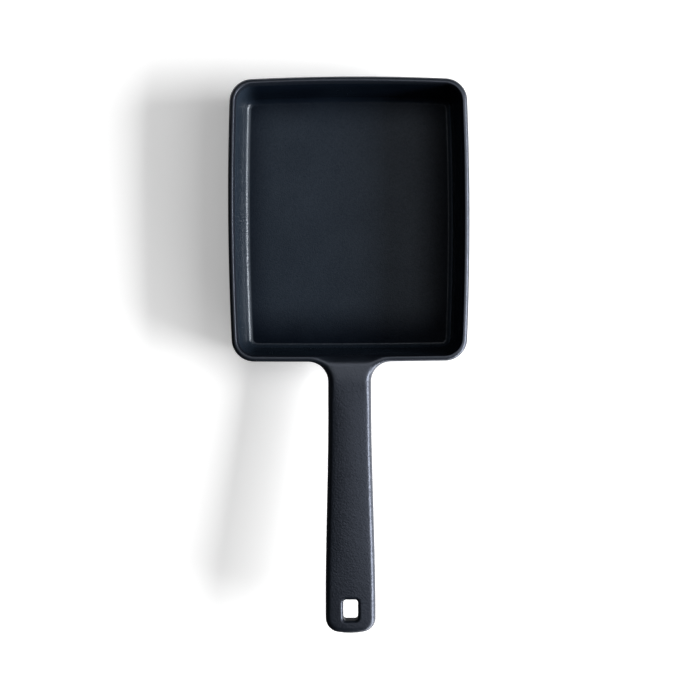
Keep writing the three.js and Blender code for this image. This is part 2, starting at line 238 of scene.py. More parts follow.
class FinishSettings(bpy.types.PropertyGroup):
    """Colours and grain of the finishes."""

    iron: colour("Iron", "Lacquered iron skin", (0.0035, 0.0052, 0.0085))
    iron_pale: colour("Iron, thin", "Iron skin where the lacquer is thin", (0.0070, 0.0095, 0.0140))
    # Painted sheen: the paler colour of the rim's flat top and the neck, where they face up
    ground: colour("Ground rim", "The rim's top and the neck, ground flat", (0.030, 0.034, 0.042))
    enamel: colour("Enamel", "Enamel of the well", (0.0079, 0.0130, 0.0210))
    enamel_pale: colour("Enamel, thin", "Enamel where it fired thinner", (0.0146, 0.0214, 0.0318))
    iron_roughness: share("Iron roughness", "Sheen of the iron skin", 0.35)
    enamel_roughness: share("Enamel roughness", "Sheen of the enamel", 0.25)
    iron_gloss: share("Iron gloss", "Strength of the iron skin's reflection", 0.66)
    enamel_gloss: share("Enamel gloss", "Strength of the enamel's reflection", 0.45)
    floor_gloss: share("Floor gloss", "The same on the floor, scoured by the turner", 0.18)
    # Painted shade: near-black colour on the floor along the walls and on the far wall, standing in for the
    # walls' shade
    film: colour("Seasoning film", "Burnt oil on the floor along the walls", (0.0030, 0.0052, 0.0098))
    clear_middle: lengths("Clear middle", "Middle of the floor that is free of the film", (-0.004, 0.00475))
    clear_size: lengths("Clear size", "Width and length of that floor", (0.082, 0.1045))
    film_fade: length("Film fade", "The film thickens over this width", 0.030)
    film_climb: length("Film climb", "The oil that ran to the far wall climbs it from here", 0.070)
    iron_sheen: colour("Iron sheen", "Tint of the iron skin's reflections", (0.73, 0.80, 1.0))
    enamel_sheen: colour("Enamel sheen", "Tint of the enamel's reflections", (0.84, 0.91, 1.0))
    iron_grain: length("Iron grain", "Size of the sand-cast pebbles", 0.0013)
    enamel_grain: length("Enamel grain", "Size of the enamel's orange peel", 0.0008)
    iron_relief: length("Iron relief", "Height of the sand-cast pebbles", 0.00015)
    enamel_relief: length("Enamel relief", "Height of the enamel's orange peel", 0.00015)
    iron_swell: length("Iron swell", "Height of the iron skin's broad unevenness", 0.00012)
    enamel_swell: length("Enamel swell", "Height of the enamel's broad unevenness", 0.00006)
    # Painted sheen: it fades out this far along the handle
    ground_reach: length("Ground reach", "The ground surface ends this far along the handle", 0.016)


class StudioSettings(bpy.types.PropertyGroup):
    """Light, floor and camera."""

    floor: colour("Floor", "Paper that the pan lies on, where the camera sees it", (0.98, 0.98, 0.98))
    bounce_right: share("Bounce, right", "Light that the paper on the right returns to the pan", 0.6)
    bounce_left: share("Bounce, left", "Light that the paper on the left returns to the pan", 0.08)
    floor_side: length("Floor side", "Side of the floor", 8.0)
    floor_glow: share("Floor glow", "White added to the floor where the camera sees it", 0.33)
    mirrored_glow: level("Mirrored glow", "White added to the paper where the pan mirrors it", 1.0)
    lamp_distance: length("Lamp distance", "From the pan to each of the lamps", 2.5)
    key_power: level("Key light", "Power of the softbox on the right, in watts", 104.0)
    key_size: lengths("Key size", "Width and height of the softbox", (1.6, 0.66))
    key_way: angles("Key direction", "Turn from the right towards the handle, and rise", (6.5, 26.5))
    screen_power: level("Screen light", "Power of the screen above the softbox, in watts", 18.0)
    screen_size: lengths("Screen size", "Width and height of the screen", (2.2, 1.3))
    screen_way: angles("Screen direction", "Turn from the right towards the handle, and rise", (0, 50))
    rim_power: level("Rim light", "Power of the low lamp that lights the right edges, in watts", 78.0)
    rim_size: lengths("Rim light size", "Width and height of the lamp", (2.0, 0.30))
    rim_way: angles("Rim light direction", "Turn from the right towards the handle, and rise", (44, 4.0))
    window_power: level("Window light", "Power of the light overhead, beyond the tray, in watts", 6.3)
    window_size: lengths("Window size", "Width and height of the light", (1.5, 1.0))
    window_way: angles("Window direction", "Turn from the right towards the handle, and rise", (-68, 79))
    room: level("Room light", "Even light from the room", 0.02)
    camera: lengths("Camera", "Place of the camera", (0.00031, -0.08125, 0.9357))
    camera_roll: angle("Camera roll", "The pan lies turned by this in the picture", -0.25)
    lens: level("Lens", "Focal length in millimetres", 74.8)


class PanSettings(bpy.types.PropertyGroup):
    """All settings of the omelette pan."""

    tray: bpy.props.PointerProperty(type=TraySizes)
    handle: bpy.props.PointerProperty(type=HandleSizes)
    hole: bpy.props.PointerProperty(type=HangHoleSizes)
    hollow: bpy.props.PointerProperty(type=HollowSizes)
    enamel: bpy.props.PointerProperty(type=EnamelSizes)
    finish: bpy.props.PointerProperty(type=FinishSettings)
    studio: bpy.props.PointerProperty(type=StudioSettings)


# Shapes


class Arc(NamedTuple):
    x: float
    y: float
    radius: float


class PlanPoint(NamedTuple):
    """A point on an arc, so that a parallel outline has only another radius."""

    arc: Arc
    cos: float
    sin: float

    def inset(self, distance, height):
        reach = self.arc.radius - distance
        return Vector((self.arc.x + reach * self.cos, self.arc.y + reach * self.sin, height))


class EdgePoint(NamedTuple):
    """A point of the handle's outline, with the way inwards from it."""

    x: float
    y: float
    in_x: float
    in_y: float


def spread(start, end, steps):
    return [start + (end - start) * k / steps for k in range(steps + 1)]


def smooth(value, start, end):
    t = min(max((value - start) / (end - start), 0), 1)
    return t * t * (3 - 2 * t)


def mix(first, second, amount):
    return first + (second - first) * amount


def bow_radius(half_chord, bow):
    return (half_chord**2 + bow**2) / (2 * bow)


def mirrored(point):
    return Vector((-point.x, point.y, point.z))


def arc_section(inset, height, radius, start, end):
    angles = spread(start, end, ARC_STEPS)
    return [(inset + radius * math.cos(a), height + radius * math.sin(a)) for a in angles]


def corner_arc(side, end, radius, end_sign):
    """Centre of the circle that touches two larger arcs from inside, at the corner on the +X side."""
    reach = Vector((end.x - side.x, end.y - side.y))
    distance = reach.length
    from_side = side.radius - radius
    from_end = end.radius - radius
    along = (from_side**2 - from_end**2 + distance**2) / (2 * distance)
    aside = end_sign * math.sqrt(from_side**2 - along**2)
    unit = reach / distance
    return Arc(side.x + along * unit.x - aside * unit.y, side.y + along * unit.y + aside * unit.x, radius)


class PanForm:
    """The pan's outlines and surfaces, worked out from its sizes."""

    def __init__(self, settings):
        self.tray = settings.tray
        self.handle = settings.handle
        self.hole = settings.hole
        self.hollow = settings.hollow
        self.enamel = settings.enamel
        self.far_y = CASTING_HIGH.y
        self.near_y = self.far_y - self.tray.length
        self.butt_y = CASTING_LOW.y
        self.across = spread(-1, 1, ACROSS_STEPS)
        # Columns of the tray's outline between which the handle starts
        self.neck_first = 3 * (SIDE_STEPS + CORNER_STEPS) + NEAR_STEPS
        self.neck_last = self.neck_first + ACROSS_STEPS
        self.draft_tangent = math.tan((math.pi / 2 - self.tray.draft) / 2)
        self.root_z = self.tray.height - self.handle.thickness - self.handle.root_fillet
        self.well_floor = self.tray.floor + self.enamel.seat + self.enamel.coat
        self.end_radius = bow_radius(self.handle.butt_width / 2, self.handle.butt_bow)
        self.end_centre_y = self.butt_y + self.end_radius

    # Tray

    def plan(self, inset, corner):
        """The tray's outline drawn in by a distance, counterclockwise from the right side's near end."""
        tray = self.tray
        side_radius = bow_radius(tray.length / 2, tray.side_bow)
        far_radius = bow_radius(tray.width / 2, tray.far_bow)
        near_radius = bow_radius(tray.width / 2, tray.near_bow)
        side = Arc(tray.width / 2 - side_radius, tray.side_crest, side_radius - inset)
        far = Arc(0, self.far_y - far_radius, far_radius - inset)
        near = Arc(0, self.near_y + near_radius, near_radius - inset)
        far_corner = corner_arc(side, far, corner, 1)
        near_corner = corner_arc(side, near, corner, -1)

        def toward(arc, short):
            return math.atan2(short.y - arc.y, short.x - arc.x)

        def other(arc):
            return arc._replace(x=-arc.x)

        side_ends = (toward(side, near_corner), toward(side, far_corner))
        far_ends = (toward(far, far_corner), math.pi - toward(far, far_corner))
        near_ends = (-math.pi - toward(near, near_corner), toward(near, near_corner))
        neck_reach = (self.handle.neck_width / 2 + self.handle.neck_fillet) / near_radius
        neck = [math.asin(share_of * neck_reach) - math.pi / 2 for share_of in self.across]
        near_stops = spread(near_ends[0], neck[0], NEAR_STEPS) + neck[1:-1]
        near_stops += spread(neck[-1], near_ends[1], NEAR_STEPS)
        runs = (
            (side, spread(side_ends[0], side_ends[1], SIDE_STEPS)),
            (far_corner, spread(side_ends[1], far_ends[0], CORNER_STEPS)),
            (far, spread(far_ends[0], far_ends[1], SIDE_STEPS)),
            (other(far_corner), spread(far_ends[1], math.pi - side_ends[1], CORNER_STEPS)),
            (other(side), spread(math.pi - side_ends[1], math.pi - side_ends[0], SIDE_STEPS)),
            (other(near_corner), spread(math.pi - side_ends[0], 2 * math.pi + near_ends[0], CORNER_STEPS)),
            (near, near_stops),
            (near_corner, spread(near_ends[1], side_ends[0], CORNER_STEPS)),
        )
        return [PlanPoint(arc, math.cos(a), math.sin(a)) for arc, stops in runs for a in stops[:-1]]

    def outer_wall(self, z):
        """Inset of the outer wall at a height: the wall leaves the rim's outer round as its tangent."""
        tray = self.tray
        drop = tray.rim_round + math.sin(tray.draft) * (z - tray.height + tray.rim_round)
        return tray.rim_round - drop / math.cos(tray.draft)

    def neck_crest(self, x):
        """Radius of the rim's inner edge on the near side, which grows where the handle meets the well."""
        half_neck = self.handle.neck_width / 2
        start, end = NECK_CREST_SPAN
        beside = smooth(abs(x), half_neck * start, half_neck + self.handle.neck_fillet * end)
        return mix(self.handle.neck_crest, self.tray.crest_round, beside)

    def crest_radius(self, point):
        place = point.inset(0, 0)
        on_near_side = place.y < self.near_y + self.tray.rim_corner
        return self.neck_crest(place.x) if on_near_side else self.tray.crest_round

    def well_drop(self, radius, inset):
        """How far the inner edge has fallen at an inset from the well's outline."""
        reach = max(inset + radius * self.draft_tangent, 0)
        return radius - math.sqrt(radius**2 - reach**2)

    def rim_top(self, plan):
        """The ring along the top of the rim, where its outer round ends."""
        inset = self.tray.rim_round
        ring = []
        for point in plan:
            drop = self.well_drop(self.crest_radius(point), inset - self.tray.rim)
            ring.append(point.inset(inset, self.tray.height - drop))
        return ring

    def crest_ring(self, plan, amount):
        """A ring along the rim's inner edge, from its top at amount 0 to the start of the wall at 1."""
        ring = []
        for point in plan:
            radius = self.crest_radius(point)
            top_reach = (self.tray.rim_round - self.tray.rim) / radius + self.draft_tangent
            turn = mix(math.acos(max(top_reach, 0)), self.tray.draft, amount)
            inset = radius * (math.cos(turn) - self.draft_tangent)
            ring.append(point.inset(inset, self.tray.height - radius * (1 - math.sin(turn))))
        return ring

    def well_wall(self, z, coat):
        """Inset of the well's wall from the rim's inner edge at a height, under a coat."""
        return (self.tray.height - z) * math.tan(self.tray.draft) - coat / math.cos(self.tray.draft)

    # Handle

    def from_rim(self, y):
        return max(self.near_y - y, 0)

    def neck_blend(self, y):
        return smooth(self.from_rim(y), 0, self.handle.neck_blend)

    def top_edge(self, y):
        """Radius of the handle's top edge, which is fuller at the neck."""
        start, end = (self.handle.neck_fillet * fillets for fillets in NECK_EDGE_SPAN)
        past_neck = smooth(self.from_rim(y), start, end)
        return mix(self.handle.neck_edge, self.handle.edge, past_neck)

    def half_width(self, y):
        start = self.near_y - self.handle.taper_start
        end = self.butt_y + self.handle.butt_straight
        return mix(self.handle.neck_width, self.handle.butt_width, smooth(-y, -start, -end)) / 2

    def rise(self, y):
        """Height of the handle's middle line over the rim: level, then a bend, then the slope."""
        handle = self.handle
        beyond = self.from_rim(y) - handle.neck_flat
        bent = min(max(beyond, 0), handle.neck_bend)
        straight = max(beyond - handle.neck_bend, 0)
        return math.tan(handle.slope) * (bent**2 / (2 * handle.neck_bend) + straight)

    def top(self, x, y):
        handle = self.handle
        flattening = smooth(y, self.butt_y + handle.crown_fade, self.butt_y + handle.butt_straight)
        crown = mix(handle.crown, handle.butt_crown, flattening)
        crowned = smooth(self.from_rim(y), 0, handle.crown_start)
        fall = crown * crowned * (x / self.half_width(y)) ** 2
        drop = self.well_drop(self.neck_crest(x), y - self.near_y - self.tray.rim)
        return self.tray.height + self.rise(y) - fall - drop

    def underside(self, x, y):
        """Height of the underside, which is the same at every x."""
        fillet = self.handle.root_fillet
        inside = max(fillet - self.from_rim(y), 0)
        root = fillet - math.sqrt(fillet**2 - inside**2)
        return self.tray.height + self.rise(y) - self.handle.thickness - root

    def edge_column(self, edge):
        """Points up the handle's edge, from underside to top. At the rim they follow the tray's wall."""
        blend = self.neck_blend(edge.y)
        low_radius = self.handle.edge
        top_radius = mix(self.tray.rim_round, self.top_edge(edge.y), blend)

        def place(inset, surface, lift):
            x = edge.x + inset * edge.in_x
            y = edge.y + inset * edge.in_y
            z = surface(x, y) + lift
            lean = max(self.outer_wall(z), 0) * (1 - blend)
            return Vector((x, y + lean, z))

        turns = spread(0, math.pi / 2, ARC_STEPS)
        low = [
            place(low_radius * (1 - math.cos(t)) * blend, self.underside, low_radius * (1 - math.sin(t)))
            for t in reversed(turns)
        ]
        high = [
            place(top_radius * (1 - math.cos(t)), self.top, -top_radius * (1 - math.sin(t)))
            for t in turns
        ]
        side = [low[-1].lerp(high[0], t) for t in spread(0, 1, WALL_STEPS)[1:-1]]
        return low + side + high

    def flare(self):
        """The neck's fillet, from the rim to the handle's right side."""
        neck = self.handle.neck_width / 2
        fillet = self.handle.neck_fillet
        edges = []
        for t in spread(0, math.pi / 2, FLARE_STEPS)[1:]:
            x = neck + fillet * (1 - math.sin(t))
            y = self.near_y - fillet * (1 - math.cos(t))
            edges.append(EdgePoint(x, y, -math.sin(t), math.cos(t)))
        return edges

    def sides(self, start, end, steps):
        return [EdgePoint(self.half_width(y), y, -1, 0) for y in spread(start, end, steps)]

    def butt(self, start):
        """The handle's outline from its right side round the butt to its left side."""
        handle = self.handle
        corner_x = handle.butt_width / 2 - handle.butt_corner
        corner_y = self.end_centre_y - math.sqrt((self.end_radius - handle.butt_corner) ** 2 - corner_x**2)
        corner_turn = math.atan2(corner_y - self.end_centre_y, corner_x)
        first_half = spread(0, corner_turn / 2, BUTT_CORNER)[1:]
        second_half = spread(corner_turn / 2, corner_turn, HALF_ARC)[1:]
        right = self.sides(start, corner_y, BUTT_SIDE)
        for a in first_half + second_half:
            x = corner_x + handle.butt_corner * math.cos(a)
            y = corner_y + handle.butt_corner * math.sin(a)
            right.append(EdgePoint(x, y, -math.cos(a), -math.sin(a)))
        end_x = right[-1].x
        end = []
        for x in spread(end_x, -end_x, ACROSS_STRAIGHT)[1:-1]:
            y = self.end_centre_y - math.sqrt(self.end_radius**2 - x**2)
            end.append(EdgePoint(x, y, -x / self.end_radius, (self.end_centre_y - y) / self.end_radius))
        left = [EdgePoint(-p.x, p.y, -p.in_x, p.in_y) for p in reversed(right)]
        return right + end + left

    def station(self, edge):
        """One ring round the handle: up its right edge, over the top, down the left edge, back below."""
        right = self.edge_column(edge)
        left = [mirrored(p) for p in reversed(right)]
        return right + self.over(right[-1])[1:-1] + left + list(reversed(self.under(right[0])[1:-1]))

    def over(self, corner):
        """Points across the top from right to left."""
        stops = [s * corner.x for s in reversed(self.across)]
        return [Vector((x, corner.y, self.top(x, corner.y))) for x in stops]

    def under(self, corner):
        """Points across the underside from right to left."""
        return [Vector((s * corner.x, corner.y, corner.z)) for s in reversed(self.across)]


class LoopPoint(NamedTuple):
    """A point on a rounded outline, with the way outwards from it."""

    place: Vector
    out: Vector

    def offset(self, distance):
        return self.place + self.out * distance


def rounded_loop(corners, radius, straights):
    """A polygon with round corners, clockwise. Each run goes from the middle of one corner to the next."""
    count = len(corners)
    ways = [(corners[(i + 1) % count] - corners[i]).normalized() for i in range(count)]
    outs = [Vector((-way.y, way.x)) for way in ways]
    arcs = []
    for i, corner in enumerate(corners):
        before, after = outs[i - 1], outs[i]
        arcs.append((corner - (before + after) * radius / (1 + before.dot(after)), before, after))

    def on_corner(i, t):
        centre, before, after = arcs[i % count]
        out = before.slerp(after, t)
        return LoopPoint(centre + out * radius, out)

    loop = []
    for i, steps in enumerate(straights):
        first = on_corner(i, 1)
        last = on_corner(i + 1, 0)
        loop += [on_corner(i, t) for t in spread(0.5, 1, HALF_ARC)[:-1]]
        loop += [LoopPoint(first.place.lerp(last.place, t), first.out) for t in spread(0, 1, steps)[:-1]]
        loop += [on_corner(i + 1, t) for t in spread(0, 0.5, HALF_ARC)[:-1]]
    return loop


class Skin:
    """A closed mesh in the making, from grids whose borders meet."""

    def __init__(self):
        self.cells = bmesh.new()

    def add_grid(self, rows, closed=False, keep=None):
        points = [[self.cells.verts.new(point) for point in row] for row in rows]
        count = len(rows[0])
        for r in range(len(rows) - 1):
            for c in range(count if closed else count - 1):
                if keep is None or keep(r, c):
                    d = (c + 1) % count
                    self.cells.faces.new((points[r][c], points[r][d], points[r + 1][d], points[r + 1][c]))

    def add_cap(self, ring):
        self.cells.faces.new([self.cells.verts.new(point) for point in ring])

    def to_mesh(self, name):
        cells = self.cells
        bmesh.ops.delete(cells, geom=[v for v in cells.verts if not v.link_faces], context="VERTS")
        bmesh.ops.remove_doubles(cells, verts=cells.verts, dist=WELD)
        bmesh.ops.recalc_face_normals(cells, faces=cells.faces)
        open_edges = sum(not edge.is_manifold for edge in cells.edges)
        if open_edges:
            raise RuntimeError(f"{name} has {open_edges} open edges")
        mesh = bpy.data.meshes.new(name)
        cells.to_mesh(mesh)
        cells.free()
        return mesh


def casting_skin(form):
    """Tray, neck and handle as one skin, with the hang hole and the hollow of the underside."""
    skin = Skin()
    add_tray(skin, form)
    add_handle(skin, form)
    add_hang_hole(skin, form)
    add_hollow(skin, form)
    return skin


def rings(plan, section):
    return [[point.inset(inset, height) for point in plan] for inset, height in section]


def neck_rows(form):
    """Sections of the tray's wall from the handle's root to the rim's top, as many as in an edge column."""
    tray = form.tray
    edge = form.handle.edge
    turns = reversed(spread(0, math.pi / 2, ARC_STEPS))
    low = [form.root_z + edge * (1 - math.sin(t)) for t in turns]
    rim = arc_section(
        tray.rim_round, tray.height - tray.rim_round, tray.rim_round, math.pi + tray.draft, math.pi / 2
    )
    side = spread(low[-1], rim[0][1], WALL_STEPS)[1:-1]
    return [(form.outer_wall(z), z) for z in low + side] + rim


def add_tray(skin, form):
    tray = form.tray
    outline = form.plan(0, tray.rim_corner)
    well = form.plan(tray.rim, tray.well_corner)
    base_inset = form.outer_wall(0) + tray.base_edge * form.draft_tangent
    base = arc_section(base_inset, tray.base_edge, tray.base_edge, -math.pi / 2, tray.draft - math.pi)
    foot = [(form.outer_wall(z), z) for z in spread(base[-1][1], form.root_z, WALL_STEPS)[1:-1]]
    low = [(base_inset + FLAT_SUPPORT, 0)] + base + foot
    neck = neck_rows(form)
    crest = [form.crest_ring(well, amount) for amount in spread(0, 1, ARC_STEPS)]
    coat = form.enamel.coat + form.enamel.seat
    shelf_z = tray.height - form.enamel.lip_drop - form.enamel.seat
    iron_floor = form.well_floor - coat
    fillet = form.enamel.fillet + coat
    foot_inset = form.well_wall(iron_floor, coat) + fillet * form.draft_tangent
    bed = [(form.well_wall(shelf_z, 0), shelf_z), (form.well_wall(shelf_z, coat), shelf_z)]
    bed += arc_section(foot_inset, iron_floor + fillet, fillet, math.pi + tray.draft, 3 * math.pi / 2)
    bed.append((foot_inset + FLAT_SUPPORT, iron_floor))
    rows = rings(outline, low + neck[:-1]) + [form.rim_top(outline)] + crest + rings(well, bed)
    neck_start = len(low)
    neck_end = len(low) + len(neck) - 1

    def beside_neck(row, column):
        in_rows = neck_start <= row < neck_end
        return not (in_rows and form.neck_first <= column < form.neck_last)

    skin.add_grid(rows, closed=True, keep=beside_neck)
    skin.add_cap(rows[0])
    skin.add_cap(rows[-1])


def neck_ring(form):
    """Border of the gap that the tray's wall leaves for the handle, in the order of a handle's ring."""
    plan = form.plan(0, form.tray.rim_corner)
    rows = rings(plan, neck_rows(form)[:-1]) + [form.rim_top(plan)]
    right = [row[form.neck_last] for row in rows]
    left = [row[form.neck_first] for row in rows]
    top = rows[-1][form.neck_first + 1 : form.neck_last]
    low = rows[0][form.neck_first + 1 : form.neck_last]
    return right + list(reversed(top)) + list(reversed(left)) + low


def hole_front(form):
    """The handle's rings end here, and the patches round the hang hole begin."""
    hole = form.hole
    return form.butt_y + hole.from_butt + hole.length / 2 + hole.mouth + PATCH_MARGIN


def hollow_ends(form):
    front = form.near_y - form.hollow.from_rim + HOLLOW_MARGIN
    back = form.butt_y + form.hollow.from_butt - HOLLOW_MARGIN
    return front, back


def hollow_edges(form):
    front, back = hollow_ends(form)
    return form.sides(front, back, HOLLOW_STEPS)


def add_handle(skin, form):
    front, back = hollow_ends(form)
    flare = form.flare()
    neck = form.sides(flare[-1].y, front, ALONG_STEPS)[1:-1]
    beside_hollow = hollow_edges(form)
    rest = form.sides(back, hole_front(form), ALONG_STEPS)[1:]
    edges = flare + neck + beside_hollow + rest
    rows = [neck_ring(form)] + [form.station(edge) for edge in edges]
    first = 1 + len(flare) + len(neck)
    last = first + len(beside_hollow) - 1
    column_points = len(form.edge_column(edges[0]))
    under_first = 2 * column_points + ACROSS_STEPS - 2

    def beside(row, column):
        return not (first <= row < last and column >= under_first)

    skin.add_grid(rows, closed=True, keep=beside)


def patch(loop, border, surface):
    """Rows of points from a hole's outline to the border around it, on a surface."""
    rows = []
    for amount in PATCH_STEPS[:-1]:
        row = []
        for inner, outer in zip(loop, border, strict=True):
            x = mix(inner.x, outer.x, amount)
            y = mix(inner.y, outer.y, amount)
            row.append(Vector((x, y, surface(x, y))))
        rows.append(row)
    return rows + [border]


def rounded_lip(radius):
    """Steps over a hole's rounded edge: how far outside its outline, and how deep under the surface."""
    turns = spread(0, math.pi / 2, ARC_STEPS)
    return [(radius * (1 - math.sin(t)), radius * (1 - math.cos(t))) for t in turns]


def lay_ring(loop, offset, surface, lift):
    """A ring beside a hole's outline, lifted off a surface."""
    places = [point.offset(offset) for point in loop]
    return [Vector((place.x, place.y, surface(place.x, place.y) + lift)) for place in places]


def opening_corners(start_x, start_y, end_x, end_y):
    """Corners of an opening that lies evenly about the middle line, from its start to its end."""
    start = [Vector((-start_x, start_y)), Vector((start_x, start_y))]
    return start + [Vector((end_x, end_y)), Vector((-end_x, end_y))]


def add_hang_hole(skin, form):
    """The butt: its edge, and the top and underside around the hang hole."""
    hole = form.hole
    columns = [form.edge_column(edge) for edge in form.butt(hole_front(form))]
    skin.add_grid(columns)
    middle = form.butt_y + hole.from_butt
    half_width = hole.width / 2
    half_length = hole.length / 2
    corners = opening_corners(half_width, middle + half_length, half_width, middle - half_length)
    loop = rounded_loop(corners, hole.corner, (ACROSS_STRAIGHT, ALONG_HOLE) * 2)
    mouth = [point.offset(hole.mouth) for point in loop]
    top_border = list(reversed(form.over(columns[0][-1])))[:-1] + [column[-1] for column in columns[:-1]]
    low_border = list(reversed(form.under(columns[0][0])))[:-1] + [column[0] for column in columns[:-1]]
    skin.add_grid(patch(mouth, top_border, form.top), closed=True)
    skin.add_grid(patch(mouth, low_border, form.underside), closed=True)
    lip = rounded_lip(hole.mouth)
    high = [lay_ring(loop, out, form.top, -depth) for out, depth in lip]
    low = [lay_ring(loop, out, form.underside, depth) for out, depth in reversed(lip)]
    wall = [
        [a.lerp(b, t) for a, b in zip(high[-1], low[0], strict=True)]
        for t in spread(0, 1, WALL_STEPS)[1:-1]
    ]
    skin.add_grid(high + wall + low, closed=True)


def coons(front, right, back, left):
    """Grid of points inside four border runs, each with its end point."""
    across = len(front) - 1
    along = len(right) - 1
    back = list(reversed(back))
    left = list(reversed(left))
    rows = []
    for j in range(along + 1):
        v = j / along
        row = []
        for i in range(across + 1):
            u = i / across
            ruled = front[i].lerp(back[i], v) + left[j].lerp(right[j], u)
            flat = front[0].lerp(front[-1], u).lerp(back[0].lerp(back[-1], u), v)
            row.append(ruled - flat)
        rows.append(row)
    return rows


def add_hollow(skin, form):
    """The hollow that lightens the handle, cast into its underside."""
    hollow = form.hollow
    start_y = form.near_y - hollow.from_rim
    end_y = form.butt_y + hollow.from_butt
    start_x = form.half_width(start_y) - form.handle.edge - hollow.border
    end_x = form.half_width(end_y) - form.handle.edge - hollow.border
    corners = opening_corners(start_x, start_y, end_x, end_y)
    loop = rounded_loop(corners, hollow.corner, (ACROSS_STRAIGHT, ALONG_HOLLOW) * 2)
    right = [form.edge_column(edge)[0] for edge in hollow_edges(form)]
    left = [mirrored(point) for point in reversed(right)]
    front = list(reversed(form.under(right[0])))
    back = form.under(right[-1])
    border = front[:-1] + right[:-1] + back[:-1] + left[:-1]
    mouth = [point.offset(HOLLOW_LIP) for point in loop]
    skin.add_grid(patch(mouth, border, form.underside), closed=True)
    roof = [
        (-hollow.fillet * (1 - math.cos(t)), hollow.depth - hollow.fillet * (1 - math.sin(t)))
        for t in spread(0, math.pi / 2, ARC_STEPS)
    ]
    lip = rounded_lip(HOLLOW_LIP)
    rows = [lay_ring(loop, offset, form.underside, depth) for offset, depth in lip + roof]
    skin.add_grid(rows, closed=True)
    ring = rows[-1] + rows[-1][:1]
    runs = []
    start = 0
    for steps in (ACROSS_STEPS, HOLLOW_STEPS) * 2:
        runs.append(ring[start : start + steps + 1])
        start += steps
    skin.add_grid(coons(*runs))


# Node trees


def feed(tree, socket, value):
    """Sets an input to a plain value, or links it to another node's output."""
    if isinstance(value, bpy.types.NodeSocket):
        tree.links.new(value, socket)
    else:
        socket.default_value = value


def add_node(tree, kind, inputs=None, **settings):
    """Adds a node. Its inputs are given by socket, and its settings by name."""
    node = tree.nodes.new(kind)
    for name, value in settings.items():
        setattr(node, name, value)
    for socket, value in (inputs or {}).items():
        feed(tree, node.inputs[socket], value)
    return node


def calculate(tree, operation, *values):
    return add_node(tree, "ShaderNodeMath", dict(enumerate(values)), operation=operation).outputs["Value"]


def axes(tree, place):
    return add_node(tree, "ShaderNodeSeparateXYZ", {"Vector": place}).outputs


def remap(tree, value, low, high):
    inputs = {"Value": value, "To Min": low, "To Max": high}
    return add_node(tree, "ShaderNodeMapRange", inputs).outputs["Result"]


def smooth_step(tree, value, start, stop, low=0.0, high=1.0):
    inputs = {"Value": value, "From Min": start, "From Max": stop, "To Min": low, "To Max": high}
    return add_node(tree, "ShaderNodeMapRange", inputs, interpolation_type="SMOOTHSTEP").outputs["Result"]


def blend_colours(tree, amount, first, second):
    inputs = {"Factor": amount, 6: first, 7: second}
    return add_node(tree, "ShaderNodeMix", inputs, data_type="RGBA").outputs[2]


def opaque(rgb):
    return (*rgb, 1.0)


def new_group(name, size, output):
    """An empty shader node group that takes a place and a size, and puts out one number."""
    group = bpy.data.node_groups.new(name, "ShaderNodeTree")
    group.interface.new_socket("Place", in_out="INPUT", socket_type="NodeSocketVector")
    group.interface.new_socket(size, in_out="INPUT", socket_type="NodeSocketFloat")
    group.interface.new_socket(output, in_out="OUTPUT", socket_type="NodeSocketFloat")
    return group, add_node(group, "NodeGroupInput").outputs, add_node(group, "NodeGroupOutput").inputs


def use_group(tree, group, **values):
    return add_node(tree, "ShaderNodeGroup", values, node_tree=group).outputs[0]


def sand_grain_group():
    """Height of a skin that took the print of sand: rounded pebbles, broken up by a finer noise."""
    group, given, result = new_group(SAND_GRAIN, "Size", "Height")
    fineness = calculate(group, "DIVIDE", 1.0, given["Size"])
    pebble_inputs = {"Vector": given["Place"], "Scale": fineness, "Smoothness": 0.7}
    pebbles = add_node(group, "ShaderNodeTexVoronoi", pebble_inputs, feature="SMOOTH_F1")
    grit_fineness = calculate(group, "MULTIPLY", fineness, GRIT_FINENESS)
    grit_inputs = {"Vector": given["Place"], "Scale": grit_fineness, "Detail": 2.5, "Roughness": 0.55}
    grit = add_node(group, "ShaderNodeTexNoise", grit_inputs)
    dome = calculate(group, "SUBTRACT", 1.0, pebbles.outputs["Distance"])
    grit_height = calculate(group, "MULTIPLY", grit.outputs["Fac"], GRIT_HEIGHT)
    feed(group, result["Height"], calculate(group, "MULTIPLY_ADD", dome, PEBBLE_HEIGHT, grit_height))
    return group


def drift_group():
    """Slow change over a surface, from 0 to 1, as in a coat that dried unevenly."""
    group, given, result = new_group(COAT_DRIFT, "Patch", "Amount")
    fineness = calculate(group, "DIVIDE", 1.0, given["Patch"])
    cloud_inputs = {"Vector": given["Place"], "Scale": fineness, "Detail": 3.0}
    cloud = add_node(group, "ShaderNodeTexNoise", cloud_inputs)
    stretch_inputs = {"Value": cloud.outputs["Fac"], "From Min": 0.3, "From Max": 0.7}
    stretch = add_node(group, "ShaderNodeMapRange", stretch_inputs)
    feed(group, result["Amount"], stretch.outputs["Result"])
    return group


def coat_groups():
    """The node groups of both coats, each built once."""
    built = bpy.data.node_groups
    return built.get(SAND_GRAIN) or sand_grain_group(), built.get(COAT_DRIFT) or drift_group()


# Finishes


